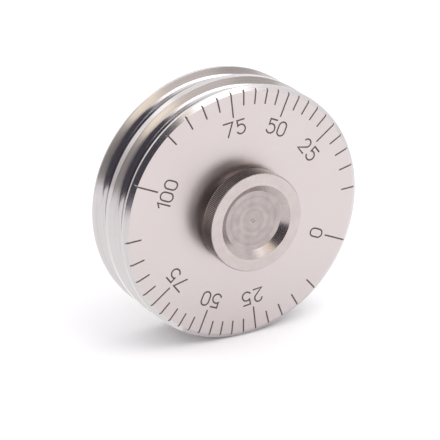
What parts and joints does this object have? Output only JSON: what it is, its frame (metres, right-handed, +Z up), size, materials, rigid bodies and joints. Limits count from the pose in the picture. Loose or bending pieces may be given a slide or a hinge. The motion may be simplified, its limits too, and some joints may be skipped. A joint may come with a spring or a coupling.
{
  "type": "graduated rotary table head",
  "caption": "Round steel table head: percent dial clamped by a knurled nut on a ball-bearing spindle in a grooved body, crank roller behind.",
  "frame": {"origin": "on the spindle axis in the rear mounting face, at the centre of the bolt circle", "axes": "+Y out of the rear face along the spindle axis, the dial faces -Y, +Z up with the head standing on its rim"},
  "size_m": [0.08, 0.0401, 0.08],
  "materials": {
    "dial_steel": "satin brushed stainless steel with blackened engraving",
    "body_steel": "turned and polished stainless steel",
    "knob_steel": "knurled rim, turned face, stainless steel",
    "spindle_steel": "ground steel",
    "bearing_steel": "polished bearing steel",
    "spring_steel": "blued spring steel",
    "crank_steel": "turned steel",
    "pin_steel": "hardened and ground steel",
    "screw_steel": "black oxide",
    "bronze": "turned bronze",
    "nitrile": "moulded nitrile rubber"
  },
  "bodies": {
    "housing": {"grooved_body": "body_steel", "rear_cover": "body_steel", "cover_screws": "screw_steel", "dowel_pins": "pin_steel", "shaft_seal": "nitrile", "dust_ring": "nitrile", "wave_spring": "spring_steel", "outer_spacer": "spindle_steel", "front_outer_race": "bearing_steel", "rear_outer_race": "bearing_steel"},
    "spindle_unit": {"spindle": "spindle_steel", "front_inner_race": "bearing_steel", "rear_inner_race": "bearing_steel", "inner_spacer": "spindle_steel", "crank_disc": "crank_steel", "crank_key": "pin_steel", "crank_screw": "screw_steel", "crank_pin": "pin_steel", "roller_clip": "spring_steel"},
    "front_ball_set": {"front_balls": "bearing_steel", "front_cage": "bronze"},
    "rear_ball_set": {"rear_balls": "bearing_steel", "rear_cage": "bronze"},
    "dial": {"dial_plate": "dial_steel", "dial_bush": "bronze"},
    "washer": {"thrust_washer": "pin_steel"},
    "knob": {"clamp_knob": "knob_steel"},
    "roller": {"crank_roller": "bearing_steel"}
  },
  "joints": [
    {"name": "spindle_turn", "type": "hinge", "parent": "housing", "child": "spindle_unit", "pos_m": [0, 0, 0], "axis": [0, -1, 0], "continuous": true},
    {"name": "dial_set", "type": "hinge", "parent": "spindle_unit", "child": "dial", "pos_m": [0, 0, 0], "axis": [0, -1, 0], "continuous": true},
    {"name": "knob_lift", "type": "slide", "parent": "spindle_unit", "child": "washer", "axis": [0, -1, 0], "range_m": [0, 0.0015]},
    {"name": "knob_turn", "type": "hinge", "parent": "washer", "child": "knob", "pos_m": [0, 0, 0], "axis": [0, -1, 0], "range_deg": [0, 360]},
    {"name": "front_cage_turn", "type": "hinge", "parent": "housing", "child": "front_ball_set", "pos_m": [0, 0, 0], "axis": [0, -1, 0], "continuous": true},
    {"name": "rear_cage_turn", "type": "hinge", "parent": "housing", "child": "rear_ball_set", "pos_m": [0, 0, 0], "axis": [0, -1, 0], "continuous": true},
    {"name": "roller_turn", "type": "hinge", "parent": "spindle_unit", "child": "roller", "pos_m": [0.01101, 0.0066, -0.00477], "axis": [0, -1, 0], "continuous": true}
  ],
  "couplings": [
    {"joint": "knob_lift", "follows": "knob_turn", "m_per_rad": 0.00023873},
    {"joint": "front_cage_turn", "follows": "spindle_turn", "ratio": 0.439},
    {"joint": "rear_cage_turn", "follows": "spindle_turn", "ratio": 0.439}
  ]
}
